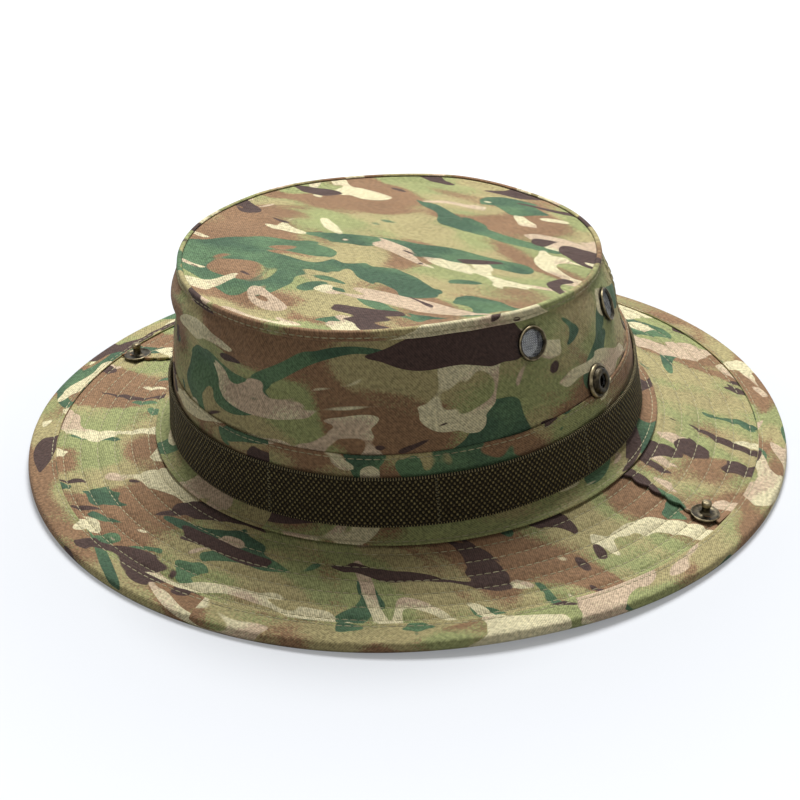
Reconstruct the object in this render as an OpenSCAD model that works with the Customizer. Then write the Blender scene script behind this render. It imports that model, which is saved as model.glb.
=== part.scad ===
// Boonie hat: soft crown with a flat tip, screened side vents, foliage webbing and a stitched brim.
// Millimetres. +Z up, the front of the hat faces -Y, the origin lies on the table under the crown.
// Each side of the brim folds up about a line beside the crown until its stud enters the side socket.

/* [Crown] */
// Length of the crown at the brim, outside of the cloth
crown_len = 195.2; // [190:1:202]
// Width of the crown at the brim, outside of the cloth
crown_wid = 178.8; // [174:1:184]
// Height of the crown side, brim to tip seam at mid side
crown_h = 67.6; // [60:1:80]
// Length of the flat tip at its seam
tip_len = 174.4; // [165:1:185]
// Width of the flat tip at its seam
tip_wid = 155.8; // [148:1:164]
// How much higher the seam is at the front, and lower at the back, than at mid side
seam_rise_h = 6.6; // [0:0.2:9]
// Extra height of the seam where the soft crown is pushed up, in front of the right side
seam_bulge_h = 3.2; // [0:0.2:4]
// Rise of the tip's middle over its seam
tip_dome = 3; // [1:0.5:8]
// Swell of the side between brim and tip
side_swell = 2.6; // [0:0.2:4]
// Sideways lean of the soft crown, measured at the tip
lean_side = -4.4; // [-6:0.2:6]
// Lean of the soft crown toward the front, measured at the tip
lean_front = 3.4; // [-6:0.2:6]
// Angle of the two side seams behind the side axis
side_seam_angle = 30; // [24:6:60]

/* [Brim] */
// Length of the brim, front to back
brim_len = 305.6; // [285:1:320]
// Width of the brim, side to side
brim_wid = 299.8; // [280:1:315]
// Fall of the brim from the crown to its edge, without the flare
brim_drop = 12.4; // [8:0.5:20]
// Extra fall of the brim under the flared foot of the base band
flare_drop = 1.6; // [0:0.2:3]
// How level the sides of the brim lie from the studs outward: 0 for an even slope, 1 for level
side_level = 0.45; // [0:0.05:0.5]
// Width of the folded edge binding
binding_w = 11.5; // [8:0.5:14]
// Width of the flat that the edge binding rests on
rest_w = 3; // [2:0.5:5]

/* [Cloth] */
// Thickness of the shell cloth
cloth_t = 0.7; // [0.5:0.05:0.9]
// Thickness of the stiffener inside the brim
interlining_t = 0.6; // [0.4:0.05:1]
// Space left between two layers of cloth
layer_gap = 0.15; // [0.1:0.05:0.25]

/* [Bands] */
// Width of the base band's foot that lies on the brim
foot_w = 8.2; // [7:0.2:10]
// Height of the base band up the crown
base_band_h = 30; // [26:0.5:33]
// Thickness of the folded base band
base_band_t = 0.8; // [0.6:0.05:1.1]
// Width of the foliage webbing
webbing_w = 20; // [15:0.5:22]
// Thickness of the foliage webbing
webbing_t = 1.1; // [0.8:0.1:1.6]
// Height of the webbing's lower edge over the crown's foot
webbing_lift = 1.6; // [1.2:0.2:3]
// Number of bar tacks round the webbing
tack_count = 9; // [6:1:14]
// Width of one bar tack
tack_w = 1.6; // [1:0.2:3]
// Thickness of one bar tack
tack_t = 0.4; // [0.3:0.1:0.8]
// Height of the sweatband inside the crown
sweatband_h = 27; // [22:1:28]
// Thickness of the folded sweatband
sweatband_t = 1.2; // [0.8:0.1:2]
// Thickness of the tapes that bind the inside seams
tape_t = 0.5; // [0.3:0.05:0.8]
// Width of the inside tapes
tape_w = 8; // [6:0.5:10]
// Width of the folded welt on the tip seam, on each face
welt_w = 2.2; // [1.5:0.1:3.5]
// Thickness of the folded welt
welt_t = 0.9; // [0.6:0.1:1.4]

/* [Vents] */
// Outer diameter of a vent ferrule
vent_d = 13; // [12.6:0.1:14]
// Clear diameter of a vent
vent_bore_d = 10.2; // [9:0.2:10.4]
// Thickness of a vent's flange and of its washer
vent_flange_t = 0.9; // [0.6:0.1:1.3]
// Wall of the ferrule's barrel
vent_barrel_t = 0.4; // [0.3:0.05:0.5]
// Width of the step behind the flange that holds the screen
vent_step = 0.3; // [0.2:0.05:0.4]
// Thickness of the screen
screen_t = 0.5; // [0.3:0.05:0.7]
// Angle of the front vent in front of the side axis
vent_front_angle = 20.5; // [16:0.5:24]
// Angle of the rear vent behind the side axis
vent_rear_angle = 15.5; // [12:0.5:18]
// Distance of the front vent's centre below the tip seam
vent_front_drop = 11.5; // [10.5:0.5:14]
// Distance of the rear vent's centre below the tip seam
vent_rear_drop = 13.5; // [12:0.5:18]

/* [Snaps] */
// Distance of each stud from the brim's edge
stud_inset = 18.7; // [16:0.1:20]
// Distance of stud and socket in front of the side axis
snap_forward = 3; // [0:0.5:5]
// Diameter of the stud's flange and of the caps
stud_flange_d = 11.4; // [9:0.2:12]
// Thickness of the stud's flange and of the caps
snap_flange_t = 0.8; // [0.6:0.05:1]
// Height of the stud over the cloth
stud_h = 5.6; // [5:0.2:6.4]
// Diameter of the stud's head
stud_head_d = 3.9; // [3.4:0.1:4.2]
// Diameter of the stud's neck
stud_neck_d = 3.2; // [2.6:0.1:3.3]
// Outer diameter of the socket
socket_d = 13.5; // [11:0.5:14]
// Height of the socket over the crown cloth
socket_h = 3.2; // [2.8:0.1:3.8]
// Radial clearance between the stud's head and the socket's bore
snap_clearance = 0.6; // [0.5:0.05:0.8]
// Space between the stud's tip and the crown cloth when the brim is snapped up
stud_seat = 0.6; // [0.5:0.1:1]

/* [Fold] */
// Distance of each fold line outside the crown's foot
fold_out = 5.6; // [4.8:0.2:6.4]
// Space between the brim's middle and its folding sides
fold_gap = 0.4; // [0.3:0.05:0.6]

/* [Hidden] */

RIGHT = 1;
LEFT = -1;
RING_STEPS = 60;             // facets round the hat
$fn = 48;
swell_bias = 1.6;            // above 1, the side swells most above mid height
lean_power = 1.5;            // the lean grows toward the tip
bulge_at = -38;              // angle of the middle of the seam's bulge
bulge_half = 34;             // its half width in degrees
far = 400;                   // larger than the whole hat
cut_reach = 5;               // half length of a cutter for a hole in the crown
clamp_gap = 0.05;            // least space between the cloth and the washer or cap that clamps it

root_wid = crown_wid / 2;
root_len = crown_len / 2;
brim_w = brim_wid / 2 - root_wid;
stud_x = brim_wid / 2 - stud_inset;
binding_t = cloth_t;
ply_stack = 2 * cloth_t + interlining_t + 2 * layer_gap;
root_z = brim_drop + flare_drop + ply_stack + layer_gap + binding_t;
foot_s = foot_w / brim_w;
sheet_off = layer_gap + base_band_t + layer_gap;   // outside of the crown cloth to inside of the webbing

// ---- the crown side, as a surface: t runs from 0 at the brim to 1 at the tip seam ----
function swell(t) = side_swell * sin(180 * pow(max(t, 0), swell_bias));
function lean(t) = pow(max(t, 0), lean_power);
function off_bulge(a) = (a - bulge_at + 3 * 180) % 360 - 180;
function bulge(a) = seam_bulge_h * exp(-pow(off_bulge(a) / bulge_half, 2));
function seam_z(a) = root_z + crown_h - seam_rise_h * sin(a) + bulge(a);
function side_point(t, a, off) = [
    (root_wid + (tip_wid / 2 - root_wid) * t + swell(t) + off) * cos(a) + lean_side * lean(t),
    (root_len + (tip_len / 2 - root_len) * t + swell(t) + off) * sin(a) - lean_front * lean(t),
    root_z + t * (seam_z(a) - root_z)
];
function side_height_t(h, a) = h / (seam_z(a) - root_z);
function side_normal(t, a) =
    let (up = side_point(t + 0.01, a, 0) - side_point(t - 0.01, a, 0),
         round = side_point(t, a + 1, 0) - side_point(t, a - 1, 0),
         n = cross(round, up))
    n / norm(n);

// ---- the brim, as a surface: s runs from 0 at the crown's foot to 1 at the brim's edge ----
function from_edge(d) = 1 - d / brim_w;
knee_s = from_edge(stud_inset + stud_flange_d / 2 + 1);    // the sides lie lowest just inside the studs
side_sag = side_level * brim_drop * (1 - knee_s);
function sag(s, a) = side_sag * pow(cos(a), 2) * (s < knee_s ? max(s, 0) / knee_s : (1 - s) / (1 - knee_s));
function flare(s) = flare_drop * (1 - pow(1 - min(max(s, 0) / foot_s, 1), 2));
function brim_z(s, a) = root_z - brim_drop * s - flare(s) - sag(s, a);
function brim_point(s, a, up) = [
    (root_wid + s * brim_w) * cos(a),
    (root_len + s * (brim_len / 2 - root_len)) * sin(a),
    brim_z(s, a) + up
];

// ---- the crown's tip: r runs from 1 at the seam to 0 in the middle ----
function tip_point(r, a, up, off) = [
    (tip_wid / 2 * r + off) * cos(a) + lean_side,
    (tip_len / 2 * r + off) * sin(a) - lean_front,
    root_z + crown_h - seam_rise_h * r * sin(a) + bulge(a) * pow(r, 3) + tip_dome * (1 - r * r) + up
];

function ring(first = 0, last = 360) = [for (a = [first : 360 / RING_STEPS : last + 0.01]) a];
full_ring = [for (i = [0 : RING_STEPS - 1]) i * 360 / RING_STEPS];

// A sheet with thickness between two grids of points: one row per angle, counter-clockwise from above,
// each row running up the side or in from the brim's edge. A pole closes the rows in one middle point.
module sheet(outside, inside, closed = false, poles = []) {
    n = len(outside);
    m = len(outside[0]);
    both = n * m;
    grid = concat([for (row = outside) each row], [for (row = inside) each row], poles);
    spans = closed ? n - 1 : n - 2;
    function at(i, j) = (i % n) * m + j;
    faces = concat(
        [for (i = [0 : spans], j = [0 : m - 2])
            each [[at(i, j), at(i, j + 1), at(i + 1, j + 1)], [at(i, j), at(i + 1, j + 1), at(i + 1, j)]]],
        [for (i = [0 : spans], j = [0 : m - 2])
            each [[both + at(i, j), both + at(i + 1, j + 1), both + at(i, j + 1)],
                  [both + at(i, j), both + at(i + 1, j), both + at(i + 1, j + 1)]]],
        [for (i = [0 : spans])
            each [[at(i, 0), at(i + 1, 0), both + at(i + 1, 0)], [at(i, 0), both + at(i + 1, 0), both + at(i, 0)]]],
        len(poles) > 0
            ? [for (i = [0 : spans])
                each [[at(i, m - 1), 2 * both, at(i + 1, m - 1)],
                      [both + at(i, m - 1), both + at(i + 1, m - 1), 2 * both + 1]]]
            : [for (i = [0 : spans])
                each [[at(i, m - 1), both + at(i + 1, m - 1), at(i + 1, m - 1)],
                      [at(i, m - 1), both + at(i, m - 1), both + at(i + 1, m - 1)]]],
        closed ? [] : [for (j = [0 : m - 2])
            each [[at(0, j), both + at(0, j), both + at(0, j + 1)], [at(0, j), both + at(0, j + 1), at(0, j + 1)],
                  [at(n - 1, j), both + at(n - 1, j + 1), both + at(n - 1, j)],
                  [at(n - 1, j), at(n - 1, j + 1), both + at(n - 1, j + 1)]]]
    );
    polyhedron(points = grid, faces = faces, convexity = 6);
}

// A sheet that follows the crown side between two heights, from off_in to off_out outside the cloth
module side_sheet(angles, low, high, off_out, off_in, rows, closed = false) {
    function height(a, k) = let (h = low + (high - low) * k / rows) side_height_t(h, a);
    sheet([for (a = angles) [for (k = [0 : rows]) side_point(height(a, k), a, off_out)]],
          [for (a = angles) [for (k = [0 : rows]) side_point(height(a, k), a, off_in)]], closed);
}

// ---- where the snaps and folds are ----
fold_x = root_wid + fold_out;
fold_z = brim_z(fold_out / brim_w, 0) + layer_gap + base_band_t;
stud_s = from_edge(stud_inset);
stud_slope = atan((brim_z(knee_s, 0) - brim_z(1, 0)) / ((1 - knee_s) * brim_w));
lap_t = cloth_t;
lap_w = 6;
stud_foot = [stud_x, brim_z(stud_s, 0) + (2 * layer_gap + lap_t) / cos(stud_slope)];
stud_tip = stud_foot + stud_h * [sin(stud_slope), cos(stud_slope)];
stud_arm = stud_tip - [fold_x, fold_z];
reach = norm(stud_arm);
rest_angle = atan2(stud_arm.y, stud_arm.x);

function on_side(side, a) = side > 0 ? a : 180 - a;
function snap_angle(t) = -asin(snap_forward / (root_len + (tip_len / 2 - root_len) * t));
function crown_x(side, z) =
    let (t = (z - root_z) / crown_h)
    abs(side_point(t, on_side(side, snap_angle(t)), 0).x);
function closed_angle(side, z) = acos((crown_x(side, z) + stud_seat - fold_x) / reach);
function socket_z(side) = fold_z + reach * sin(closed_angle(side, fold_z + reach));
function fold_angle(side) = closed_angle(side, socket_z(side)) - rest_angle;
echo(fold_line_mm = [fold_x, fold_z], fold_right_deg = fold_angle(RIGHT), fold_left_deg = fold_angle(LEFT));

// Children stand on the crown cloth, their +Z pointing out of it
module on_crown(t, a) {
    n = side_normal(t, a);
    translate(side_point(t, a, 0)) rotate([0, acos(n.z), atan2(n.y, n.x)]) children();
}

// Children stand where the stud's tip comes to rest, their +Z pointing back along the stud
module at_socket(side) {
    turn = closed_angle(side, socket_z(side));
    tilt = fold_angle(side) - stud_slope - 90;
    translate([side * (fold_x + reach * cos(turn)), -snap_forward, fold_z + reach * sin(turn)])
        rotate([0, side * (90 - tilt), 0]) children();
}

// Children stand on the brim at a stud, their +Z square to the brim
module at_stud(side) {
    translate([side * stud_foot.x, -snap_forward, stud_foot.y]) rotate([0, side * stud_slope, 0]) children();
}

// Makes room for a round piece of diameter d
module cutter(d, low, high) {
    translate([0, 0, low]) cylinder(d = d + 2 * layer_gap, h = high - low);
}

module tube(outer_d, inner_d, low, high) {
    translate([0, 0, low]) difference() {
        cylinder(d = outer_d, h = high - low);
        translate([0, 0, -1]) cylinder(d = inner_d, h = high - low + 2);
    }
}

// ---- the parts of the brim: middle, front and back, and the two folding sides ----
module brim_middle() {
    half = fold_x - fold_gap / 2;
    intersection() {
        children();
        translate([-half, -far / 2, -far / 2]) cube([2 * half, far, far]);
    }
}
module front_half(way) {
    intersection() {
        children();
        translate([-far / 2, way > 0 ? -far / 2 : layer_gap / 2, -far / 2])
            cube([far, far / 2 - layer_gap / 2, far]);
    }
}
module brim_side(side) {
    inner = fold_x + fold_gap / 2;
    intersection() {
        children();
        translate([side > 0 ? inner : -inner - far / 2, -far / 2, -far / 2]) cube([far / 2, far, far]);
    }
}
module stud_hole(side) {
    difference() {
        children();
        at_stud(side) translate([0, 0, -far / 40]) cylinder(d = stud_neck_d + 2 * layer_gap, h = far / 20);
    }
}

// One flat ply of the whole brim between two depths under its top surface
module ply(top_depth, bottom_depth) {
    edge = from_edge(binding_t + 2 * layer_gap);
    inner = -cloth_t / brim_w;
    rows = [edge, from_edge(binding_w), knee_s, foot_s, foot_s / 2, inner];
    sheet([for (a = full_ring) [for (s = rows) brim_point(s, a, -top_depth)]],
          [for (a = full_ring) [for (s = rows) brim_point(s, a, -bottom_depth)]], closed = true);
}
module upper_ply() ply(layer_gap, layer_gap + cloth_t);
module interlining() ply(2 * layer_gap + cloth_t, 2 * layer_gap + cloth_t + interlining_t);
module lower_ply() ply(3 * layer_gap + cloth_t + interlining_t, layer_gap + ply_stack);

// The edge binding wraps the plies and is pressed flat where the hat rests on it
module binding() {
    top = binding_t;
    under = -(ply_stack + layer_gap + binding_t);
    edge_round = 0.8;
    lining = from_edge(binding_t + layer_gap);
    round_in = from_edge(binding_t);
    flat_in = from_edge(rest_w + binding_t);
    flat_end = from_edge(rest_w + binding_t + 2);
    tape = from_edge(binding_w);
    function down(s, a) = -brim_z(s, a);
    function outside(a) = [
        brim_point(tape, a, under), brim_point(flat_end, a, under), brim_point(flat_in, a, down(flat_in, a)),
        brim_point(round_in, a, down(round_in, a)), brim_point(1, a, under + edge_round),
        brim_point(1, a, top - edge_round),
        brim_point(round_in, a, top), brim_point(tape, a, top)];
    function inside(a) = let (low = -(ply_stack + 1.5 * layer_gap), turn = round_in - layer_gap / brim_w) [
        brim_point(tape, a, low), brim_point(flat_end, a, low), brim_point(flat_in, a, low),
        brim_point(turn, a, low), brim_point(lining, a, low), brim_point(lining, a, 0),
        brim_point(turn, a, 0), brim_point(tape, a, 0)];
    sheet([for (a = full_ring) outside(a)], [for (a = full_ring) inside(a)], closed = true);
}

// The base band stands on the crown cloth and its foot flares out over the brim
module whole_base_band() {
    rows = 3;
    function foot(a, off) = [for (s = [foot_s, foot_s * 0.66, foot_s * 0.33]) brim_point(s, a, off)];
    function upright(a, off) = [for (k = [0 : rows])
        side_point(side_height_t(k == 0 ? off : base_band_h * k / rows, a), a, off)];
    sheet([for (a = full_ring) concat(foot(a, layer_gap + base_band_t), upright(a, layer_gap + base_band_t))],
          [for (a = full_ring) concat(foot(a, layer_gap), upright(a, layer_gap))], closed = true);
}

// ================= the crown =================
module vent_holes() {
    for (side = [RIGHT, LEFT], front = [true, false])
        at_vent(side, front) {
            cutter(barrel_d, -cut_reach, cut_reach);
            cutter(vent_d, -cut_reach, vent_back + clamp_gap);
        }
}
module socket_holes() {
    for (side = [RIGHT, LEFT]) at_socket(side) {
        cutter(shank_d, -cut_reach, cut_reach);
        cutter(stud_flange_d, -cut_reach, cap_face + clamp_gap);
        cutter(socket_d, socket_foot - clamp_gap, cut_reach);
    }
}

module crown_top() {
    rings = [1, 0.985, 0.9, 0.7, 0.45, 0.2];
    color("darkkhaki")
    sheet([for (a = full_ring) [for (r = rings) tip_point(r, a, 0, -layer_gap)]],
          [for (a = full_ring) [for (r = rings) tip_point(r, a, -cloth_t, -layer_gap)]], closed = true,
          poles = [tip_point(0, 0, 0, 0), tip_point(0, 0, -cloth_t, 0)]);
}
module side_panel(first, last) {
    rows = 7;
    top_t = 1 - (cloth_t + layer_gap) / crown_h;
    seam_gap = layer_gap / 2 / root_wid * 180 / PI;
    angles = [for (a = ring(first, last)) min(max(a, first + seam_gap), last - seam_gap)];
    low_t = layer_gap / crown_h;
    function at(k) = low_t + (top_t - low_t) * k / rows;
    sheet([for (a = angles) [for (k = [0 : rows]) side_point(at(k), a, 0)]],
          [for (a = angles) [for (k = [0 : rows]) side_point(at(k), a, -cloth_t)]]);
}
module crown_side_front() {
    color("olivedrab") difference() {
        side_panel(-180 - side_seam_angle, side_seam_angle);
        vent_holes();
        socket_holes();
    }
}
module crown_side_back() {
    color("olive") side_panel(side_seam_angle, 180 - side_seam_angle);
}
module crown_seam_welt() {
    face = layer_gap + welt_t;
    rounded = -layer_gap;                          // where the rounded corner starts, from the tip's edge
    function outside(a) = [
        side_point(1 - (welt_w + cloth_t) / crown_h, a, layer_gap + welt_t / 2),
        tip_point(1, a, rounded, face),
        tip_point(1, a, face, rounded),
        tip_point(1 - welt_w / root_wid, a, layer_gap + welt_t / 2, 0)];
    function inside(a) = [
        side_point(1 - (welt_w + cloth_t) / crown_h, a, layer_gap),
        tip_point(1, a, -2 * layer_gap, layer_gap),
        tip_point(1, a, layer_gap, layer_gap / 2),
        tip_point(1 - welt_w / root_wid, a, layer_gap, 0)];
    color("tan") sheet([for (a = full_ring) outside(a)], [for (a = full_ring) inside(a)], closed = true);
}
module crown_seam_tape() {
    outer = 1 - 2 * cloth_t / root_wid;
    inner = outer - tape_w / root_wid;
    under = cloth_t + layer_gap;
    color("khaki")
    sheet([for (a = full_ring) [for (r = [outer, inner]) tip_point(r, a, -under, -layer_gap)]],
          [for (a = full_ring) [for (r = [outer, inner]) tip_point(r, a, -under - tape_t, -layer_gap)]],
          closed = true);
}
module side_seam_tapes() {
    half = tape_w / 2 / root_len * 180 / PI;
    low = sweatband_h + 1;
    high = crown_h - tape_w;
    off = cloth_t + layer_gap;
    color("khaki")
    for (a = [side_seam_angle, 180 - side_seam_angle])
        side_sheet([a - half, a, a + half], low, high, -off - layer_gap, -off - layer_gap - tape_t, 4);
}

// ================= the bands =================
module socket_room() {
    for (side = [RIGHT, LEFT])
        at_socket(side) cutter(socket_d, -cut_reach, cut_reach);
}
module base_band() {
    color("darkolivegreen") brim_middle() difference() {
        whole_base_band();
        socket_room();
    }
}
module base_band_fold(side) {
    color("darkolivegreen") brim_side(side) whole_base_band();
}
module foliage_webbing() {
    color("dimgray") difference() {
        side_sheet(full_ring, webbing_lift, webbing_lift + webbing_w, sheet_off + webbing_t, sheet_off, 2,
                   closed = true);
        socket_room();
    }
}
module webbing_bar_tacks() {
    half = tack_w / 2 / root_len * 180 / PI;
    off = sheet_off + webbing_t + layer_gap;
    inset = 1;
    color("darkslategray")
    for (k = [0 : tack_count - 1])
        let (a = -90 + k * 360 / tack_count)
        side_sheet([a - half, a + half], webbing_lift + inset, webbing_lift + webbing_w - inset, off + tack_t, off, 1);
}
module sweatband() {
    off = cloth_t + layer_gap;
    sweatband_low = -0.5;
    color("darkgray") difference() {
        side_sheet(full_ring, sweatband_low, sweatband_h, -off, -off - sweatband_t, 3, closed = true);
        for (side = [RIGHT, LEFT]) at_socket(side) cutter(stud_flange_d, -cut_reach, cut_reach);
    }
}

// ================= the vents =================
barrel_d = vent_bore_d + 2 * (vent_step + vent_barrel_t);    // outside of the barrel
vent_seat = layer_gap;                             // underside of the flange over the cloth
vent_back = -cloth_t - layer_gap;                  // face of the washer under the cloth

module at_vent(side, front) {
    a = front ? -vent_front_angle : vent_rear_angle;
    drop = front ? vent_front_drop : vent_rear_drop;
    angle = on_side(side, a);
    on_crown(1 - side_height_t(drop, angle), angle) children();
}
module vent_ferrule(side, front) {
    color("goldenrod") at_vent(side, front) {
        tube(vent_d, vent_bore_d, vent_seat, vent_seat + vent_flange_t);
        tube(barrel_d, barrel_d - 2 * vent_barrel_t, vent_back, vent_seat);
    }
}
module vent_screen(side, front) {
    color("slategray") at_vent(side, front)
        translate([0, 0, vent_seat - layer_gap / 2 - screen_t])
            cylinder(d = barrel_d - 2 * vent_barrel_t - layer_gap, h = screen_t);
}
module vent_washer(side, front) {
    color("darkgoldenrod") at_vent(side, front)
        tube(vent_d, vent_bore_d, vent_back - vent_flange_t, vent_back);
}

// ================= the snaps =================
shank_d = stud_head_d + 2 * snap_clearance + 1.4;  // tube of the cap that holds the socket
socket_foot = -stud_seat + 0.3;                    // foot of the socket, from the stud's tip
cap_face = -stud_seat - cloth_t - 2 * layer_gap;   // face of the cap inside the crown
socket_bore_d = stud_head_d + 2 * snap_clearance;
spring_d = socket_bore_d + 1.4;
spring_t = 0.8;
spring_low = socket_foot + socket_h / 2 - spring_t / 2;

module snap_socket(side) {
    rim = 0.7;
    color("goldenrod") at_socket(side) rotate_extrude() difference() {
        polygon([
            [socket_bore_d / 2, socket_foot], [socket_d / 2, socket_foot], [socket_d / 2, socket_foot + 0.8],
            [socket_d / 2 - rim, socket_foot + 1.6], [socket_d / 2 - 2 * rim, socket_foot + 1.3],
            [spring_d / 2 + 1.2, socket_foot + socket_h - 0.5], [spring_d / 2 + 0.6, socket_foot + socket_h],
            [socket_bore_d / 2 + 0.4, socket_foot + socket_h], [socket_bore_d / 2, socket_foot + socket_h - 0.5]]);
        translate([0, spring_low - layer_gap]) square([spring_d / 2 + layer_gap, spring_t + 2 * layer_gap]);
    }
}
module snap_spring(side) {
    color("silver") at_socket(side)
        tube(spring_d, socket_bore_d - 0.2, spring_low, spring_low + spring_t);
}
module socket_cap(side) {
    color("darkgoldenrod") at_socket(side) {
        tube(stud_flange_d, socket_bore_d, cap_face - snap_flange_t, cap_face);
        tube(shank_d, socket_bore_d, cap_face, socket_foot);
    }
}
module snap_stud(side) {
    head_h = 2;
    edge = 0.3;
    color("goldenrod") at_stud(side) rotate_extrude() polygon([
        [0, 0], [stud_flange_d / 2, 0], [stud_flange_d / 2, snap_flange_t - edge],
        [stud_flange_d / 2 - 2 * edge, snap_flange_t], [stud_neck_d / 2, snap_flange_t],
        [stud_neck_d / 2, stud_h - head_h], [stud_head_d / 2, stud_h - head_h + edge],
        [stud_head_d / 2, stud_h - 2 * edge], [stud_head_d / 2 - 2 * edge, stud_h], [0, stud_h]]);
}
module stud_cap(side) {
    under = -(ply_stack + lap_t + 4 * layer_gap);
    color("darkgoldenrod") at_stud(side) {
        translate([0, 0, under - snap_flange_t]) cylinder(d = stud_flange_d, h = snap_flange_t);
        translate([0, 0, under]) cylinder(d = stud_neck_d, h = -under);
    }
}

// ================= the brim =================
module brim_side_seam(side) {
    half = lap_w / 2 / (root_len + brim_w / 2) * 180 / PI;
    rows = [from_edge(binding_w + 1), stud_s, knee_s, (fold_x + 6 - root_wid) / brim_w];
    middle = on_side(side, -snap_forward / stud_x * 180 / PI);
    angles = [middle - half, middle, middle + half];
    color("darkkhaki") stud_hole(side)
    sheet([for (a = angles) [for (s = rows) brim_point(s, a, lap_t + layer_gap)]],
          [for (a = angles) [for (s = rows) brim_point(s, a, layer_gap)]]);
}
module brim_upper(way) { color("olivedrab") front_half(way) brim_middle() upper_ply(); }
module brim_interlining(way) { color("beige") front_half(way) brim_middle() interlining(); }
module brim_lower(way) { color("darkolivegreen") front_half(way) brim_middle() lower_ply(); }
module brim_binding(way) { color("olive") front_half(way) brim_middle() binding(); }
module side_upper(side) { color("yellowgreen") stud_hole(side) brim_side(side) upper_ply(); }
module side_interlining(side) { color("beige") stud_hole(side) brim_side(side) interlining(); }
module side_lower(side) { color("darkolivegreen") stud_hole(side) brim_side(side) lower_ply(); }
module side_binding(side) { color("olive") brim_side(side) binding(); }

crown_top();
crown_side_front();
crown_side_back();
crown_seam_welt();
crown_seam_tape();
side_seam_tapes();
base_band();
foliage_webbing();
webbing_bar_tacks();
sweatband();
vent_ferrule(RIGHT, true);  // vent_ferrule_right_front
vent_ferrule(RIGHT, false);  // vent_ferrule_right_rear
vent_ferrule(LEFT, true);  // vent_ferrule_left_front
vent_ferrule(LEFT, false);  // vent_ferrule_left_rear
vent_screen(RIGHT, true);  // vent_screen_right_front
vent_screen(RIGHT, false);  // vent_screen_right_rear
vent_screen(LEFT, true);  // vent_screen_left_front
vent_screen(LEFT, false);  // vent_screen_left_rear
vent_washer(RIGHT, true);  // vent_washer_right_front
vent_washer(RIGHT, false);  // vent_washer_right_rear
vent_washer(LEFT, true);  // vent_washer_left_front
vent_washer(LEFT, false);  // vent_washer_left_rear
snap_socket(RIGHT);  // snap_socket_right
snap_socket(LEFT);  // snap_socket_left
snap_spring(RIGHT);  // snap_spring_right
snap_spring(LEFT);  // snap_spring_left
socket_cap(RIGHT);  // socket_cap_right
socket_cap(LEFT);  // socket_cap_left
brim_upper(1);  // brim_upper_front
brim_upper(-1);  // brim_upper_back
brim_interlining(1);  // brim_interlining_front
brim_interlining(-1);  // brim_interlining_back
brim_lower(1);  // brim_lower_front
brim_lower(-1);  // brim_lower_back
brim_binding(1);  // brim_binding_front
brim_binding(-1);  // brim_binding_back
side_upper(RIGHT);  // brim_upper_right
side_upper(LEFT);  // brim_upper_left
side_interlining(RIGHT);  // brim_interlining_right
side_interlining(LEFT);  // brim_interlining_left
side_lower(RIGHT);  // brim_lower_right
side_lower(LEFT);  // brim_lower_left
side_binding(RIGHT);  // brim_binding_right
side_binding(LEFT);  // brim_binding_left
base_band_fold(RIGHT);  // base_band_fold_right
base_band_fold(LEFT);  // base_band_fold_left
brim_side_seam(RIGHT);  // brim_side_seam_right
brim_side_seam(LEFT);  // brim_side_seam_left
snap_stud(RIGHT);  // snap_stud_right
snap_stud(LEFT);  // snap_stud_left
stud_cap(RIGHT);  // stud_cap_right
stud_cap(LEFT);  // stud_cap_left
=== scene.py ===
import bmesh
import bpy
from math import atan2, cos, exp, hypot, pi, radians, sin, sqrt
from mathutils import Matrix, Vector, noise


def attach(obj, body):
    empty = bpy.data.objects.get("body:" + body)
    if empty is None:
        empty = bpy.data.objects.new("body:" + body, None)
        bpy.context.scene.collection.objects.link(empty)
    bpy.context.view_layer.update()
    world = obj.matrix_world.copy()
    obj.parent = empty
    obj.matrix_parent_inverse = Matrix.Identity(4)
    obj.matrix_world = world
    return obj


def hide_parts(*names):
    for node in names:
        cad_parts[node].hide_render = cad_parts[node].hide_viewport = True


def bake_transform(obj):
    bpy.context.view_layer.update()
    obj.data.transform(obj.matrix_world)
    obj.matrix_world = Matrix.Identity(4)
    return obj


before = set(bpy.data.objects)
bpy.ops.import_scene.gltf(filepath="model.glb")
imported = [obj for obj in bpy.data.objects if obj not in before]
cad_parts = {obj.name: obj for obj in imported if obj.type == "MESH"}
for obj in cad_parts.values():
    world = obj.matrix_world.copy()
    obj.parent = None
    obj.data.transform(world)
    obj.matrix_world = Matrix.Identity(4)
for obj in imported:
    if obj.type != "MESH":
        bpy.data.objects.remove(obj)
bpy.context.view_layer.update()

# ---- sizes of the hat in millimetres, as its solids have them ----
MM = 0.001
CROWN_LEN = 195.2
CROWN_WID = 178.8
CROWN_H = 67.6
TIP_LEN = 174.4
TIP_WID = 155.8
SEAM_RISE = 6.6
SEAM_BULGE = 3.2
BULGE_AT = -38      # degrees round from the right side, like every angle here
BULGE_HALF = 34
TIP_DOME = 3.0
SIDE_SWELL = 2.6
SWELL_BIAS = 1.6
LEAN_SIDE = -4.4
LEAN_FRONT = 3.4
LEAN_POWER = 1.5
SIDE_SEAM = 30
BRIM_LEN = 305.6
BRIM_WID = 299.8
BRIM_DROP = 12.4
FLARE_DROP = 1.6
SIDE_LEVEL = 0.45   # at 0 the brim's sides fall evenly, above it their outer part lies flatter
BINDING_W = 11.5
CLOTH_T = 0.7
FELT_T = 0.6
GAP = 0.15
FOOT_W = 8.2
BAND_H = 30.0
BAND_T = 0.8
WEBBING_W = 20.0
WEBBING_T = 1.1
WEBBING_LIFT = 1.6
TACK_COUNT = 9
SWEATBAND_H = 27.0
SWEATBAND_T = 1.2
TAPE_T = 0.5
TAPE_W = 8.0
WELT_W = 2.2
WELT_T = 0.9
VENT_FRONT = 20.5
VENT_REAR = 15.5
VENT_FRONT_DROP = 11.5
VENT_REAR_DROP = 13.5
STUD_INSET = 18.7
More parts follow.
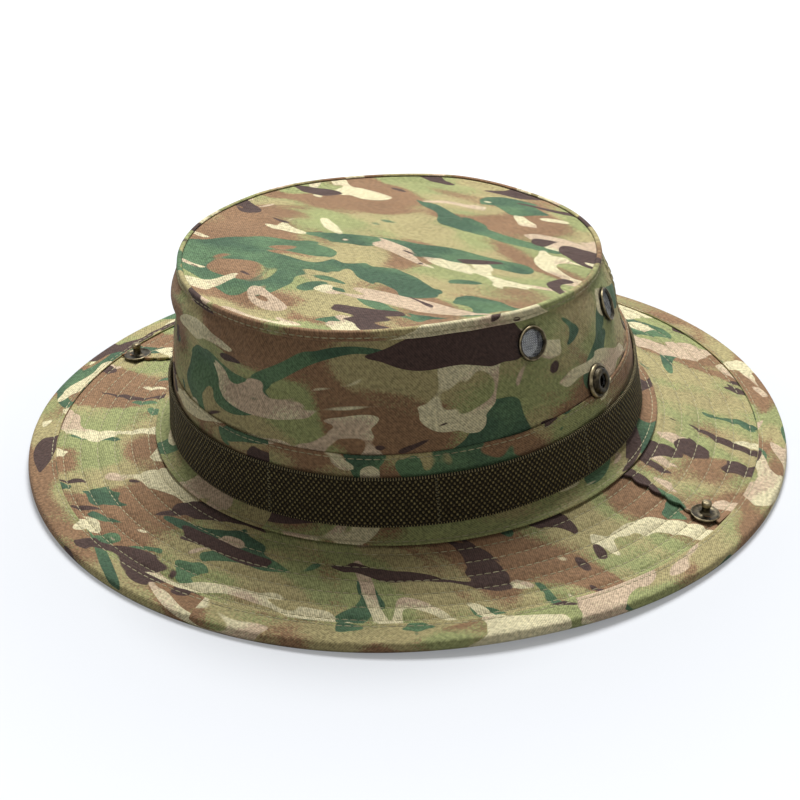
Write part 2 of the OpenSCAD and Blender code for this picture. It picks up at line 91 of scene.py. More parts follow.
SNAP_FORWARD = 3.0

ROOT_WID = CROWN_WID / 2
ROOT_LEN = CROWN_LEN / 2
BRIM_W = BRIM_WID / 2 - ROOT_WID
PLIES = 2 * CLOTH_T + FELT_T + 2 * GAP
ROOT_Z = BRIM_DROP + FLARE_DROP + PLIES + GAP + CLOTH_T
FOOT_S = FOOT_W / BRIM_W
WEBBING_OFF = GAP + BAND_T + GAP
BINDING_IN = BRIM_W - BINDING_W
STUD_X = BRIM_WID / 2 - STUD_INSET
STUD_R = 5.7
KNEE = BRIM_W - STUD_INSET - STUD_R - 1     # where the sides turn flatter, just inside the stud
SIDE_SAG = SIDE_LEVEL * BRIM_DROP * (1 - KNEE / BRIM_W)
SIDES = {"right": 1, "left": -1}

# ---- how the cloth is sewn and how it lies ----
QUILT_ROWS = [FOOT_W + 3 + 7 * k for k in range(6)]
THREAD = 0.42
STITCH_PITCH = 3.2
STITCH_SHARE = 0.86
SIDE_R = 92         # mean radius of the crown's side, to measure along its cloth


def turn(a, b):
    """Signed angle from b to a, in degrees."""
    return (a - b + 180) % 360 - 180


def hump(x, width):
    return exp(-((x / width) ** 2))


def ease(x):
    x = min(max(x, 0), 1)
    return x * x * (3 - 2 * x)


def uneven(a, height, size, seed=0.0):
    """Slow unevenness that closes round the hat, from about -1 to 1."""
    reach = 100 / size
    return noise.noise(Vector((cos(radians(a)) * reach, sin(radians(a)) * reach, height / size + seed)))


# ---- the crown side: t runs from 0 at the brim to 1 at the tip seam ----
def drape(t, a):
    """How far the soft side stands out from its even shape: a fold over a dent at the left front, and a
    hollow at the right back."""
    free = ease((t - 0.44) / 0.14) * ease((1 - t) / 0.08)
    fold = 2.6 * hump(turn(a, -116), 30) * hump(t - 0.86, 0.09)
    dent = -3.4 * hump(turn(a, -112), 34) * hump(t - 0.66, 0.10)
    hollow = -3.4 * hump(turn(a, 48), 30) * hump(t - 0.58, 0.2) * ease((t - 0.42) / 0.1)
    soft = 1.3 * uneven(a, t * 60, 42) + 0.7 * uneven(a, t * 60, 15, 5)
    return free * (fold + dent + soft) + ease((1 - t) / 0.1) * hollow


def bulge(a):
    return SEAM_BULGE * hump(turn(a, BULGE_AT), BULGE_HALF)


def seam_z(a):
    return ROOT_Z + CROWN_H - SEAM_RISE * sin(radians(a)) + bulge(a)


def slump(x, a):
    """The soft seam wanders a little up and down, and sinks at the left front."""
    wander = 1.0 * uneven(a, 0, 50, 21) - 1.0 * hump(turn(a, -132), 24)
    return wander * ease((x - 0.82) / 0.18)


def wall(t, a, off):
    s = max(t, 0)
    out = SIDE_SWELL * sin(pi * s ** SWELL_BIAS) + off + drape(t, a)
    lean = s ** LEAN_POWER
    return Vector((
        (ROOT_WID + (TIP_WID / 2 - ROOT_WID) * t + out) * cos(radians(a)) + LEAN_SIDE * lean,
        (ROOT_LEN + (TIP_LEN / 2 - ROOT_LEN) * t + out) * sin(radians(a)) - LEAN_FRONT * lean,
        ROOT_Z + t * (seam_z(a) - ROOT_Z) + slump(s, a)))


def wall_up(height, a, off):
    """A point of the crown side at a height in millimetres over its foot."""
    return wall(height / (seam_z(a) - ROOT_Z), a, off)


def on_wall(t, a):
    """A frame in metres on the crown cloth, its +Z pointing out of it."""
    up = wall(t + 0.02, a, 0) - wall(t - 0.02, a, 0)
    along = wall(t, a + 1, 0) - wall(t, a - 1, 0)
    out = along.cross(up).normalized()
    turned_up = out.to_track_quat("Z", "Y").to_matrix().to_4x4()
    return Matrix.Translation(wall(t, a, 0) * MM) @ turned_up


# ---- the brim: d runs out from the crown's foot in millimetres ----
def brim_z(d, a=0):
    s = d / BRIM_W
    flare = 1 - (1 - min(max(s, 0) / FOOT_S, 1)) ** 2
    inner = max(d, 0) / KNEE
    outer = (BRIM_W - d) / (BRIM_W - KNEE)
    sag = inner if d < KNEE else outer
    return ROOT_Z - BRIM_DROP * s - FLARE_DROP * flare - SIDE_SAG * cos(radians(a)) ** 2 * sag


STUD_SLOPE = atan2(brim_z(KNEE) - brim_z(BRIM_W), BRIM_W - KNEE)


def lift(d, a):
    """The brim's edge stands a little off the table in three places."""
    edge = max(d / BRIM_W, 0) ** 2
    right_front = 2.2 * hump(turn(a, -42), 24)
    right_back = 1.6 * hump(turn(a, 60), 28)
    left_front = 2.0 * hump(turn(a, -150), 22)
    return edge * (right_front + right_back + left_front)


def brim(d, a, up):
    s = d / BRIM_W
    return Vector((
        (ROOT_WID + d) * cos(radians(a)),
        (ROOT_LEN + s * (BRIM_LEN / 2 - ROOT_LEN)) * sin(radians(a)),
        brim_z(d, a) + lift(d, a) + up))


def quilt(d, a):
    """The quilted cloth over its flat ply: a groove at each stitched row, puffed between the rows."""
    near = min(abs(d - row) for row in QUILT_ROWS)
    inside = ease((BINDING_IN - 0.3 - d) / 1.2)
    pull = 0.25 * uneven(a, d * 0.4, 5) * (1 - hump(near, 0.7))
    puff = 0.30 * (1 - hump(near, 2.4)) * ease((d - 7.9) / 1.5)
    return inside * (puff - 0.45 * hump(near, 0.7) + pull)


def snap_angle(side):
    a = -SNAP_FORWARD / STUD_X * 180 / pi
    return a if side > 0 else 180 - a


LAP_BACK = 14.0
LAP_FIRST = FOOT_W + 0.4
LAP_LAST = BINDING_IN - 0.2


def along_brim(d):
    """Millimetres of brim per radian at the side seams."""
    return ROOT_LEN + d / BRIM_W * (BRIM_LEN / 2 - ROOT_LEN)


def scallop(d):
    """The lap's front edge is held back at each stitched row and bows forward between them."""
    return -2.1 * abs(sin(pi * (d - QUILT_ROWS[0]) / 7)) ** 0.8


def lap_rise(d, q):
    """Height of the lap over the ply under it, q millimetres behind its front edge."""
    if q < 0 or not LAP_FIRST <= d <= LAP_LAST:
        return 0.0
    return (CLOTH_T + 3 * GAP) * (1 - ease((q - 1) / (LAP_BACK - 1))) + 0.35 * hump(q, 1.2)


def quilt_top(d, a):
    """Height of the brim's upper face, with the laps of its side seams."""
    rise = 0.0
    for side in SIDES.values():
        away = radians(turn(a, snap_angle(side))) * side * along_brim(d)
        if abs(away) < LAP_BACK + 2:
            rise = lap_rise(d, away - scallop(d))
    return quilt(d, a) + rise - GAP


# ---- the crown's tip: r runs from 1 at the seam to 0 in the middle ----
def tip(r, a, up, off=0.0):
    sag = 2.6 * hump(r - 0.88, 0.07) * hump(turn(a, -118), 34) + 0.5 * hump(r - 0.93, 0.05)
    wave = (1.3 * uneven(a, r * 50, 60, 3) + 0.5 * uneven(a, r * 50, 20, 7)) * r * ease((1 - r) / 0.1)
    gather = 0.34 * uneven(a, 0, 7, 9) * hump(r - 0.955, 0.03)
    return Vector((
        (TIP_WID / 2 * r + off) * cos(radians(a)) + LEAN_SIDE,
        (TIP_LEN / 2 * r + off) * sin(radians(a)) - LEAN_FRONT,
        ROOT_Z + CROWN_H - SEAM_RISE * r * sin(radians(a)) + bulge(a) * r ** 3 + TIP_DOME * (1 - r * r)
        + slump(r, a) + up - sag + wave + gather))


# ---- making pieces ----
def steps(first, last, step):
    count = max(round((last - first) / step), 1)
    return [first + (last - first) * k / count for k in range(count + 1)]


def folded(tops, thick, unders=None):
    """Section of a ply with rounded edges: out over the top, and back underneath."""
    r = thick / 2
    tuck = 0.7 * r
    first = tops[0]
    last = tops[-1]
    edge_out = [(last + tuck, r + tuck), (last + r, r), (last + tuck, r - tuck)]
    edge_in = [(first - tuck, r - tuck), (first - r, r), (first - tuck, r + tuck)]
    under = [(w, 0.0) for w in reversed(unders or [first, last])]
    return [(w, thick) for w in tops] + edge_out + under + edge_in


def cloth(angles, section, place, paint, wrap=True):
    """A ply swept round the hat: place(a, w, h) is the point of its section's (w, h) at angle a, in
    millimetres, and paint(a, w, run, point) its place on the printed cloth."""
    bm = bmesh.new()
    sheet_map = bm.loops.layers.uv.new("cloth")
    columns = len(angles) - 1
    rows = len(section) - (0 if wrap else 1)
    runs = [0.0]
    for k in range(rows):
        here = section[k]
        after = section[(k + 1) % len(section)]
        runs.append(runs[-1] + hypot(after[0] - here[0], after[1] - here[1]))
    bmesh.ops.create_grid(bm, x_segments=columns, y_segments=rows, size=0.5)
    spots = {}
    for v in bm.verts:
        i = round((v.co.x + 0.5) * columns)
        j = round((v.co.y + 0.5) * rows)
        a = angles[i]
        w, h = section[j % len(section)]
        point = place(a, w, h)
        spots[v] = Vector(paint(a, w, runs[j], point)) * MM
        v.co = point * MM
    for f in bm.faces:
        f.smooth = True
        for loop in f.loops:
            loop[sheet_map].uv = spots[loop.vert]
    bmesh.ops.remove_doubles(bm, verts=bm.verts, dist=1e-7)
    for f in bmesh.ops.holes_fill(bm, edges=bm.edges, sides=0)["faces"]:
        for e in f.edges:
            e.smooth = False
    bmesh.ops.recalc_face_normals(bm, faces=bm.faces)
    return bm


def round_the_hat(radius, shift=0, rise=0):
    """Lays a band out flat on its cloth: its mean radius gives the length, and its section the width."""
    return lambda a, w, run, point: (radians(a) * radius + shift, w + rise)


def piece(name, bm, finish, nodes, extra=()):
    mesh = bpy.data.meshes.new(name)
    bm.to_mesh(mesh)
    bm.free()
    for material in (finish, *extra):
        mesh.materials.append(material)
    obj = bpy.data.objects.new(name, mesh)
    bpy.context.scene.collection.objects.link(obj)
    if nodes:
        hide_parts(*nodes)
    return obj


def bend_with(obj):
    """Bakes the piece's placement into its mesh."""
    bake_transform(obj)
    return obj


APART = 10    # between copies of a shape, before each is put in its place
SAMPLES = 48    # on a line of stitches, to measure its length


def copies(one, count):
    """The shape in one, and count - 1 more of it, each APART on along X."""
    if count > 1:
        everything = one.verts[:] + one.edges[:] + one.faces[:]
        bmesh.ops.spin(one, geom=everything, cent=(0, 0, 0), axis=(0, 0, 1), dvec=(APART, 0, 0),
                       angle=0, steps=count - 1, use_duplicate=True)
    return one


def add_to(bm, part):
    mesh = bpy.data.meshes.new("part")
    part.to_mesh(mesh)
    part.free()
    bm.from_mesh(mesh)
    bpy.data.meshes.remove(mesh)


def sew(thread, line, pitch=STITCH_PITCH, size=THREAD, share=STITCH_SHARE):
    """Adds a row of stitches: line(x, across, up) is the point at x of the way along it."""
    marks = [line(k / SAMPLES, 0, 0) for k in range(SAMPLES + 1)]
    length = sum((marks[k + 1] - marks[k]).length for k in range(SAMPLES))
    count = max(round(length / pitch), 1)
    row = bmesh.new()
    bmesh.ops.create_uvsphere(row, u_segments=6, v_segments=4, radius=0.5)
    copies(row, count)
    for v in row.verts:
        k = round(v.co.x / APART)
        x = (k + 0.5 + v.co.z * share) / count
        v.co = line(x, (v.co.x - APART * k) * size, v.co.y * size) * MM
    for f in row.faces:
        f.smooth = True
    bmesh.ops.recalc_face_normals(row, faces=row.faces)
    add_to(thread, row)


def ring_line(place, first, last, w, h):
    return lambda x, across, up: place(first + (last - first) * x, w + across, h + up)


def turned(profile, at, segments=48):
    """A round piece from its closed half section of (radius, height) points, standing in the frame at."""
    bm = bmesh.new()
    rim = [bm.verts.new((r * MM, 0, z * MM)) for r, z in profile]
    lines = [bm.edges.new((rim[k - 1], rim[k])) for k in range(len(rim))]
    bmesh.ops.spin(bm, geom=rim + lines, cent=(0, 0, 0), axis=(0, 0, 1), angle=2 * pi,
                   steps=segments, use_merge=True)
    bmesh.ops.remove_doubles(bm, verts=bm.verts, dist=1e-6)
    bmesh.ops.dissolve_degenerate(bm, edges=bm.edges, dist=1e-7)
    bmesh.ops.recalc_face_normals(bm, faces=bm.faces)
    for f in bm.faces:
        f.smooth = True
    for e in bm.edges:
        e.smooth = len(e.link_faces) != 2 or e.calc_face_angle(0) < radians(38)
    bmesh.ops.transform(bm, matrix=at, verts=bm.verts)
    return bm


# ---- wiring materials ----
def tint(code):
    """Linear colour from a hex code."""
    parts = [int(code[k:k + 2], 16) / 255 for k in (0, 2, 4)]
    return tuple(((c + 0.055) / 1.055) ** 2.4 if c > 0.04045 else c / 12.92 for c in parts) + (1,)


def node(tree, kind, ins=None, out=0, **settings):
    """Adds a node, feeds its inputs with values or other nodes' sockets, and returns one output."""
    made = tree.nodes.new("ShaderNode" + kind)
    for name, value in settings.items():
        setattr(made, name, value)
    for name, value in (ins or {}).items():
        if isinstance(value, bpy.types.NodeSocket):
            tree.links.new(value, made.inputs[name])
        else:
            made.inputs[name].default_value = value
    return made.outputs[out]


def calc(tree, operation, a, b=0.0):
    return node(tree, "Math", {0: a, 1: b}, operation=operation)


def mix(tree, share, a, b, blend_type="MIX"):
    return node(tree, "Mix", {0: share, 6: a, 7: b}, out=2, data_type="RGBA", blend_type=blend_type)


def ramp(tree, value, low, high, to_low=0.0, to_high=1.0):
    ins = {"Value": value, "From Min": low, "From Max": high, "To Min": to_low, "To Max": to_high}
    return node(tree, "MapRange", ins)


def cloud(tree, vector, size, detail=2.0, rough=0.5, twist=0.0, stretch=(1, 1, 1),
          shift=(0, 0, 0), tilt=0.0):
    """Noise with features of about that size in metres."""
    ins = {"Vector": vector, "Location": shift, "Rotation": (0, 0, radians(tilt)), "Scale": stretch}
    moved = node(tree, "Mapping", ins)
    ins = {"Vector": moved, "Scale": 1 / size, "Detail": detail, "Roughness": rough, "Distortion": twist}
    return node(tree, "TexNoise", ins)


def group(name, inputs, outputs):
    tree = bpy.data.node_groups.new(name, "ShaderNodeTree")
    for socket, kind in inputs:
        tree.interface.new_socket(socket, in_out="INPUT", socket_type="NodeSocket" + kind)
    for socket, kind in outputs:
        tree.interface.new_socket(socket, in_out="OUTPUT", socket_type="NodeSocket" + kind)
    entry = tree.nodes.new("NodeGroupInput")
    leave = tree.nodes.new("NodeGroupOutput")
    return tree, entry.outputs, leave.inputs


def use(tree, made, ins, out=0):
    placed = tree.nodes.new("ShaderNodeGroup")
    placed.node_tree = made
    for name, value in ins.items():
        if isinstance(value, bpy.types.NodeSocket):
            tree.links.new(value, placed.inputs[name])
        else:
            placed.inputs[name].default_value = value
    return placed.outputs[out]


# ---- shared effects ----
def make_camouflage():
    """A printed woodland of soft ground colours under crisp blotches, on cloth coordinates in metres."""
    tree, entry, leave = group("camouflage_print", [("Vector", "Vector")], [("Color", "Color")])
    spot = entry["Vector"]
    dots = cloud(tree, spot, 0.0009, 1.0)
    spray = calc(tree, "MULTIPLY", calc(tree, "SUBTRACT", dots, 0.5), 0.16)

    def sprayed(size, low, high, **how):
        soft = calc(tree, "ADD", cloud(tree, spot, size, 2.0, **how), spray)
        return ramp(tree, soft, low, high)

    def crisp(size, cut, **how):
        return ramp(tree, cloud(tree, spot, size, 1.6, **how), cut, cut + 0.006)

    colour = mix(tree, sprayed(0.036, 0.47, 0.53, stretch=(0.6, 1, 1)), tint("8E9260"), tint("A09468"))
    brown = sprayed(0.034, 0.49, 0.56, stretch=(0.55, 1, 1), shift=(0.31, 0.12, 0), twist=0.8)
    colour = mix(tree, brown, colour, tint("84664A"))
    leaf = crisp(0.030, 0.602, stretch=(0.55, 1, 1), shift=(0.13, 0.77, 0), twist=1.2, tilt=8)
    inner = sprayed(0.022, 0.42, 0.58, stretch=(0.6, 1, 1), shift=(0.5, 0.1, 0))
    colour = mix(tree, leaf, colour, mix(tree, inner, tint("56704F"), tint("3E5640")))
    pale = crisp(0.026, 0.592, stretch=(0.5, 1, 1), shift=(0.71, 0.42, 0), twist=1.4, tilt=-12)
    pink = sprayed(0.03, 0.5, 0.54, stretch=(0.5, 1, 1), shift=(0.2, 0.9, 0))
    colour = mix(tree, pale, colour, mix(tree, pink, tint("CCC29C"), tint("BBA58A")))
    twig = crisp(0.024, 0.628, stretch=(0.42, 1, 1), shift=(0.93, 0.33, 0), twist=1.2, tilt=-6)
    colour = mix(tree, twig, colour, tint("473630"))
    tree.links.new(colour, leave["Color"])
    return tree


def make_twill():
    """Diagonal ribs and uneven yarn, as a shade to multiply by and a height; the shade is painted shade
    between the ribs, with the yarn's uneven tone and fading.
    """
    wants = [("Vector", "Vector"), ("Pitch", "Float")]
    tree, entry, leave = group("twill_weave", wants, [("Shade", "Float"), ("Height", "Float")])
    spot = entry["Vector"]
    apart = tree.nodes.new("ShaderNodeSeparateXYZ")
    tree.links.new(spot, apart.inputs[0])
    along = calc(tree, "ADD", apart.outputs[0], apart.outputs[1])
    wander = calc(tree, "MULTIPLY", cloud(tree, spot, 0.004, 1.0), 0.0012)
    phase = calc(tree, "DIVIDE", calc(tree, "ADD", along, wander), entry["Pitch"])
    rib = calc(tree, "SINE", calc(tree, "MULTIPLY", phase, 2 * pi))
    yarn = ramp(tree, cloud(tree, spot, 0.0013, 2.0, 0.65), 0.3, 0.7)
    height = calc(tree, "ADD", calc(tree, "MULTIPLY", rib, 0.24), yarn)
    worn = cloud(tree, spot, 0.02, 3.0)
    # Lower in the weave the colour goes darker: painted shade between the ribs, with uneven yarn tone.
    relief = ramp(tree, height, 0.0, 1.0, 0.60, 1.32)
    fading = ramp(tree, worn, 0.3, 0.7, -0.08, 0.08)
    shade = calc(tree, "ADD", relief, fading)
    tree.links.new(shade, leave["Shade"])
    tree.links.new(height, leave["Height"])
    return tree


def make_webbing_weave():
    """Rows of staggered knuckles with fine selvedges, across a band of the width given, in metres."""
    wants = [("Vector", "Vector"), ("Width", "Float")]
    tree, entry, leave = group("webbing_weave", wants, [("Knuckle", "Float"), ("Selvedge", "Float")])
    apart = tree.nodes.new("ShaderNodeSeparateXYZ")
    tree.links.new(entry["Vector"], apart.inputs[0])
    along, across = apart.outputs[0], apart.outputs[1]
    jitter = calc(tree, "MULTIPLY", cloud(tree, entry["Vector"], 0.006, 1.0), 0.0009)
    u = calc(tree, "SINE", calc(tree, "MULTIPLY", calc(tree, "ADD", along, jitter), 2 * pi / 0.0021))
    v = calc(tree, "SINE", calc(tree, "MULTIPLY", across, 2 * pi / 0.0025))
    middle = calc(tree, "MULTIPLY", entry["Width"], 0.5)
    edge = calc(tree, "ABSOLUTE", calc(tree, "SUBTRACT", across, middle))
    from_edge = calc(tree, "SUBTRACT", middle, edge)
    selvedge = ramp(tree, from_edge, 0.0011, 0.0008)
    fine = calc(tree, "SINE", calc(tree, "MULTIPLY", calc(tree, "ADD", along, jitter), 2 * pi / 0.0011))
    body = calc(tree, "MULTIPLY", calc(tree, "MULTIPLY", u, v), calc(tree, "SUBTRACT", 1.0, selvedge))
    trim = calc(tree, "MULTIPLY", fine, selvedge)
    tree.links.new(calc(tree, "ADD", body, trim), leave["Knuckle"])
    tree.links.new(selvedge, leave["Selvedge"])
    return tree


def make_patina():
    """Blotchy ageing for metal, as a share of the dark colour and a roughness."""
    wants = [("Vector", "Vector")]
    tree, entry, leave = group("metal_patina", wants, [("Dark", "Float"), ("Roughness", "Float")])
    blotch = cloud(tree, entry["Vector"], 0.0022, 4.0, 0.65)
    grit = cloud(tree, entry["Vector"], 0.0004, 2.0)
    dark = ramp(tree, blotch, 0.38, 0.62)
    tree.links.new(dark, leave["Dark"])
    worn = ramp(tree, blotch, 0.3, 0.7, 0.28, 0.42)
    rough = calc(tree, "ADD", worn, calc(tree, "MULTIPLY", grit, 0.12))
    tree.links.new(rough, leave["Roughness"])
    return tree


CAMOUFLAGE = make_camouflage()
TWILL = make_twill()
WEBBING = make_webbing_weave()
PATINA = make_patina()


def new_finish(name, roughness, **plain):
    """A material with a Principled shader, and constants on the shader's own sockets."""
    made = bpy.data.materials.new(name)
    made.use_nodes = True
    shader = made.node_tree.nodes["Principled BSDF"]
    shader.inputs["Roughness"].default_value = roughness
    for socket, value in plain.items():
        shader.inputs[socket.replace("_", " ")].default_value = value
    return made, made.node_tree, shader.inputs


def woven(name, colour, pitch, depth, roughness, dye=None):
    """Cloth: a colour or a print, with painted shade between its ribs, with yarn relief and small creases."""
    made, tree, shader = new_finish(name, roughness, Sheen_Weight=0.05, Specular_IOR_Level=0.22)
    spot = node(tree, "UVMap", uv_map="cloth")
    if dye is not None:
        colour = use(tree, dye, {"Vector": spot})
    shade = use(tree, TWILL, {"Vector": spot, "Pitch": pitch}, "Shade")
    height = use(tree, TWILL, {"Vector": spot, "Pitch": pitch}, "Height")
    grey = node(tree, "CombineColor", {0: shade, 1: shade, 2: shade})
    tree.links.new(mix(tree, 1.0, colour, grey, "MULTIPLY"), shader["Base Color"])
    crease = cloud(tree, spot, 0.009, 3.0, 0.55, 0.5)
    creased = node(tree, "Bump", {"Height": crease, "Strength": 0.8, "Distance": 0.0014})
    bump = node(tree, "Bump", {"Height": height, "Strength": 0.6, "Distance": depth, "Normal": creased})
    tree.links.new(bump, shader["Normal"])
    return made


def make_webbing_finish():
    made, tree, shader = new_finish("woven_webbing", 0.7, Specular_IOR_Level=0.12)
    spot = node(tree, "UVMap", uv_map="cloth")
    knuckle = use(tree, WEBBING, {"Vector": spot, "Width": WEBBING_W * MM}, "Knuckle")
    selvedge = use(tree, WEBBING, {"Vector": spot, "Width": WEBBING_W * MM}, "Selvedge")
    share_outside_gap_shade = ramp(tree, knuckle, 0.0, 0.7)
    mottle = cloud(tree, spot, 0.0024, 2.0)
    yarn = mix(tree, ramp(tree, mottle, 0.38, 0.62), tint("64573A"), tint("8F8258"))
    yarn = mix(tree, selvedge, yarn, tint("A0936C"))
    # Where the weave sinks between the knuckles the colour goes near-black: painted shade in the gaps.
    colour = mix(tree, share_outside_gap_shade, tint("1C160A"), yarn)
    tree.links.new(colour, shader["Base Color"])
    bump = node(tree, "Bump", {"Height": knuckle, "Strength": 1.0, "Distance": 0.0005})
    tree.links.new(bump, shader["Normal"])
    return made


def make_metal(name, light, dark, roughness=None):
    made, tree, shader = new_finish(name, 0.35, Metallic=1.0)
    spot = node(tree, "TexCoord", out="Object")
    share = use(tree, PATINA, {"Vector": spot}, "Dark")
    tree.links.new(mix(tree, share, tint(light), tint(dark)), shader["Base Color"])
    if roughness is None:
        tree.links.new(use(tree, PATINA, {"Vector": spot}, "Roughness"), shader["Roughness"])
    grain = cloud(tree, spot, 0.0005, 3.0)
    bump = node(tree, "Bump", {"Height": grain, "Strength": 0.25, "Distance": 0.00006})
    tree.links.new(bump, shader["Normal"])
    return made


def make_thread_finish(name, light, dark):
    made, tree, shader = new_finish(name, 0.6, Sheen_Weight=0.1)
    spot = node(tree, "TexCoord", out="Object")
    share = ramp(tree, cloud(tree, spot, 0.004, 2.0), 0.35, 0.65)
    tree.links.new(mix(tree, share, tint(light), tint(dark)), shader["Base Color"])
    twist = cloud(tree, spot, 0.0003, 1.0)
    bump = node(tree, "Bump", {"Height": twist, "Strength": 0.4, "Distance": 0.0001})
    tree.links.new(bump, shader["Normal"])
    return made


PRINT = woven("printed_twill", None, 0.0011, 0.00022, 0.86, dye=CAMOUFLAGE)
PLAIN = woven("plain_twill", tint("5F6144"), 0.0011, 0.00018, 0.85)
TAPE = woven("binding_tape", tint("6B6A4A"), 0.0013, 0.0002, 0.85)
FELT = woven("stiffener_felt", tint("CFCBBB"), 0.0016, 0.0003, 0.95)
STRAP = make_webbing_finish()
SEWING = make_thread_finish("sewing_thread", "B4AB84", "8A8260")
TACKING = make_thread_finish("tack_thread", "7A7352", "544E36")
BRASS = make_metal("antique_brass", "4A4334", "1F1C17")
BRIGHT = make_metal("worn_brass", "8C8065", "4C4433")
STEEL = make_metal("screen_wire", "8E8F8C", "55565A")
SPRING = make_metal("spring_steel", "B8B8B8", "8C8C8C")

FINE = 0.75    # degrees from one column of a cloth to the next
COARSE = 3.0


# ================= the crown =================
def crown_cloth(first, last, print_shift):
    heights = steps(GAP, CROWN_H - CLOTH_T - GAP, 1.5)
    section = [(w, 0.0) for w in heights] + [(w, -CLOTH_T) for w in reversed(heights)]

    def place(a, w, h):
        seam = min(abs(turn(a, first)), abs(turn(a, last))) * pi / 180 * SIDE_R
        roll = -0.35 * hump(seam, 1.0) + 0.22 * ease((8.5 - seam) / 1.5) * ease(seam / 1.5)
        top = 0.28 * uneven(a, 0, 6, 2) * hump(w - CROWN_H + 4, 3)
        return wall(w / CROWN_H, a, h + roll + top)

    return cloth(
        steps(first + 0.05, last - 0.05, FINE), section, place, round_the_hat(SIDE_R, print_shift, 40))


def cut_hole(bm, at, radius):
    """A round hole through both faces of the cloth, its edge turned in."""
    inverse = at.inverted()

    def near(point, reach):
        p = inverse @ point
        return abs(p.z) < 0.006 and hypot(p.x, p.y) < reach

    inside = [f for f in bm.faces if near(f.calc_center_median(), radius * MM + 0.0003)]
    bmesh.ops.delete(bm, geom=inside, context="FACES")
    edges = [e for e in bm.edges if e.is_boundary]
    for v in {v for e in edges for v in e.verts}:
        p = inverse @ v.co
        out = radius * MM / hypot(p.x, p.y)
        v.co = at @ Vector((p.x * out, p.y * out, p.z))
    bmesh.ops.bridge_loops(bm, edges=edges)


def vent_frame(side, front):
    a = -VENT_FRONT if front else VENT_REAR
    angle = a if side > 0 else 180 - a
    drop = VENT_FRONT_DROP if front else VENT_REAR_DROP
    return on_wall(1 - drop / (seam_z(angle) - ROOT_Z), angle)


FOLD_OUT = 5.6    # from the crown's foot to the line that a side turns up about
FOLD_X = ROOT_WID + FOLD_OUT
FOLD_Z = brim_z(FOLD_OUT) + GAP + BAND_T
STUD_H = 5.6
STUD_SEAT = 0.6     # from the stud's tip in its socket to the crown's cloth
VENT_HOLE = 5.95
SOCKET_HOLE = 4.3
# How far each side turns up until its stud is in its socket, as the solids have it.
FOLDS = {"right": radians(110.925), "left": radians(106.081)}


def stud_frame(side):
    foot_z = brim_z(STUD_X - ROOT_WID) + (2 * GAP + CLOTH_T) / cos(STUD_SLOPE)
    foot = Vector((side * STUD_X, -SNAP_FORWARD, foot_z))
    return Matrix.Translation(foot * MM) @ Matrix.Rotation(side * STUD_SLOPE, 4, "Y")


def socket_frame(name):
    """Where the stud's tip comes to rest on the crown, +Z pointing back along the stud."""
    side = SIDES[name]
    tip_at = stud_frame(side) @ Matrix.Translation((0, 0, STUD_H * MM))
    axis = Matrix.Translation((side * FOLD_X * MM, 0, FOLD_Z * MM))
    swing = axis @ Matrix.Rotation(-side * FOLDS[name], 4, "Y") @ axis.inverted()
    return swing @ tip_at @ Matrix.Rotation(pi, 4, "X")


crown_front = crown_cloth(-180 - SIDE_SEAM, SIDE_SEAM, 20)
for side in SIDES.values():
    for front in (True, False):
        cut_hole(crown_front, vent_frame(side, front), VENT_HOLE)
for name in SIDES:
    cut_hole(crown_front, socket_frame(name), SOCKET_HOLE)
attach(piece("side_cloth_front", crown_front, PRINT, ["crown_side_front"]), "hat")
crown_back = crown_cloth(SIDE_SEAM, 180 - SIDE_SEAM, 330)
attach(piece("side_cloth_back", crown_back, PRINT, ["crown_side_back"]), "hat")

tip_rows = steps(0.0, 1.0, 1 / 44)
tip_section = [(r, -CLOTH_T) for r in tip_rows[::4]] + [(r, 0.0) for r in reversed(tip_rows)]
tip_cloth = cloth(
    steps(0, 360, 1.5), tip_section, lambda a, r, h: tip(r, a, h, -GAP),
    lambda a, r, run, point: (point.x + 210, point.y + 60), wrap=False)
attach(piece("tip_cloth", tip_cloth, PRINT, ["crown_top"]), "hat")


def welt_place(a, w, h):
    """w runs from the side, over the seam's corner at 0, onto the tip."""
    if w <= -0.5:
        return wall(1 + w / CROWN_H, a, GAP + h)
    if w >= 0.5:
        return tip(1 - w / ROOT_WID, a, GAP + h)
    low = wall(1 - 0.5 / CROWN_H, a, GAP + h)
    high = tip(1 - 0.5 / ROOT_WID, a, GAP + h)
    corner = Vector((low.x, low.y, high.z)).lerp((low + high) / 2, 0.35)
    k = w + 0.5
    return low * (1 - k) ** 2 + corner * 2 * k * (1 - k) + high * k ** 2


def welt_height(w):
    lower = 0.5 * ease((w + WELT_W + CLOTH_T + 0.05) / 0.5) * ease((1.3 - w) / 0.8)
    return lower + (WELT_T - 0.4) * hump(w + 0.15, 0.55) - 0.14 * hump(w + 1.8, 0.35)


welt_rows = [
    -2.9, -2.75, -2.6, -2.3, -2.0, -1.85, -1.7, -1.55, -1.4, -1.1, -0.8, -0.5, -0.25,
    0, 0.25, 0.5, 0.8, 1.1]
welt_section = [(w, welt_height(w)) for w in welt_rows] + [(w, -0.05) for w in reversed(welt_rows[::3])]
welt = cloth(steps(0, 360, FINE), welt_section, welt_place, round_the_hat(SIDE_R, 20, 108))
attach(piece("tip_welt", welt, PRINT, ["crown_seam_welt"]), "hat")

tape_rows = steps(1 - (2 * CLOTH_T + TAPE_W) / ROOT_WID, 1 - 2 * CLOTH_T / ROOT_WID, 0.02)
tape_section = [(r, TAPE_T) for r in tape_rows] + [(r, 0.0) for r in reversed(tape_rows)]
tip_tape = cloth(
    steps(0, 360, 1.5), tape_section, lambda a, r, h: tip(r, a, h - CLOTH_T - GAP - TAPE_T, -GAP),
    lambda a, r, run, point: (radians(a) * 85, r * ROOT_WID))
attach(piece("tip_tape", tip_tape, TAPE, ["crown_seam_tape"]), "hat")

